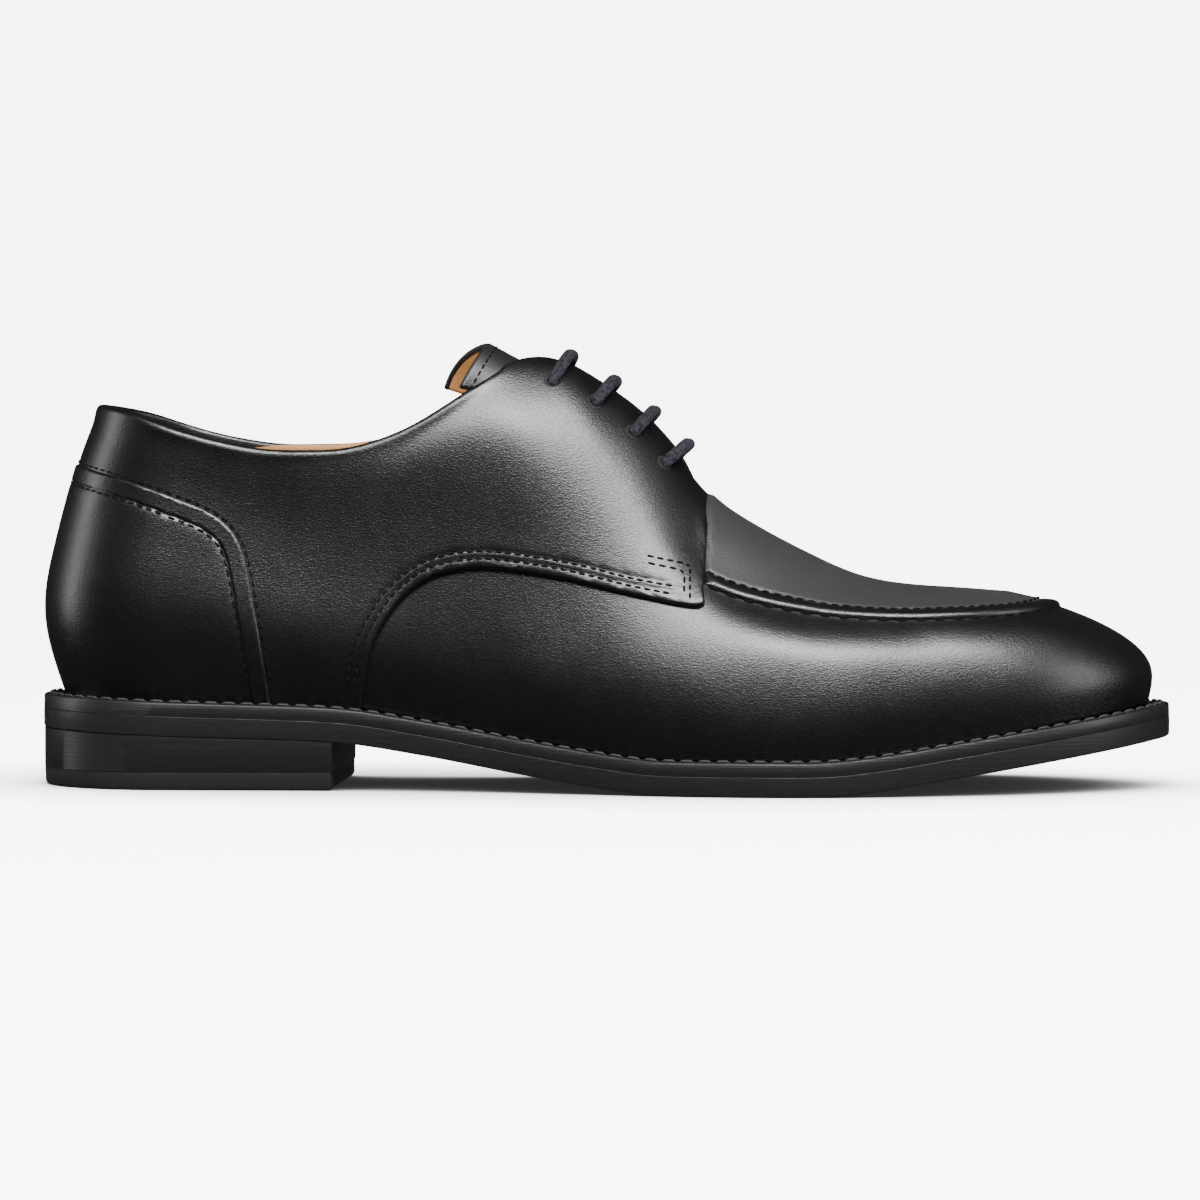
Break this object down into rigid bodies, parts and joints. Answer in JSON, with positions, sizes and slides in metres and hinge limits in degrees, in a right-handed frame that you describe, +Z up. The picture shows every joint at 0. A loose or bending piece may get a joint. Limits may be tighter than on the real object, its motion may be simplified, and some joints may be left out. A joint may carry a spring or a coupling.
{
  "type": "apron toe derby",
  "caption": "Low laced dress shoe with open lacing, raised apron seam, heel counter, welted sole and stacked heel, for the right foot.",
  "frame": {"origin": "on the floor under the middle of the shoe's bounding box", "axes": "+Z up, toe towards +X, outer (lateral) side of the right foot towards -Y"},
  "size_m": [0.304, 0.1052, 0.1184],
  "materials": {
    "upper_leather": "semi-gloss",
    "apron_leather": "satin",
    "lining_leather": "matte",
    "sole_edge": "satin",
    "heel_rubber": "matte",
    "lace_cord": "matte"
  },
  "bodies": {
    "root": {"outsole": "sole_edge", "welt": "sole_edge", "heel_stack": "sole_edge", "heel_top_piece": "heel_rubber", "insole": "lining_leather", "upper": "upper_leather", "quarter_lateral": "upper_leather", "quarter_medial": "upper_leather", "heel_counter": "upper_leather", "apron": "apron_leather", "tongue": "upper_leather", "lace_bar_1": "lace_cord", "lace_bar_2": "lace_cord", "lace_bar_3": "lace_cord", "lace_bar_4": "lace_cord"}
  },
  "joints": []
}
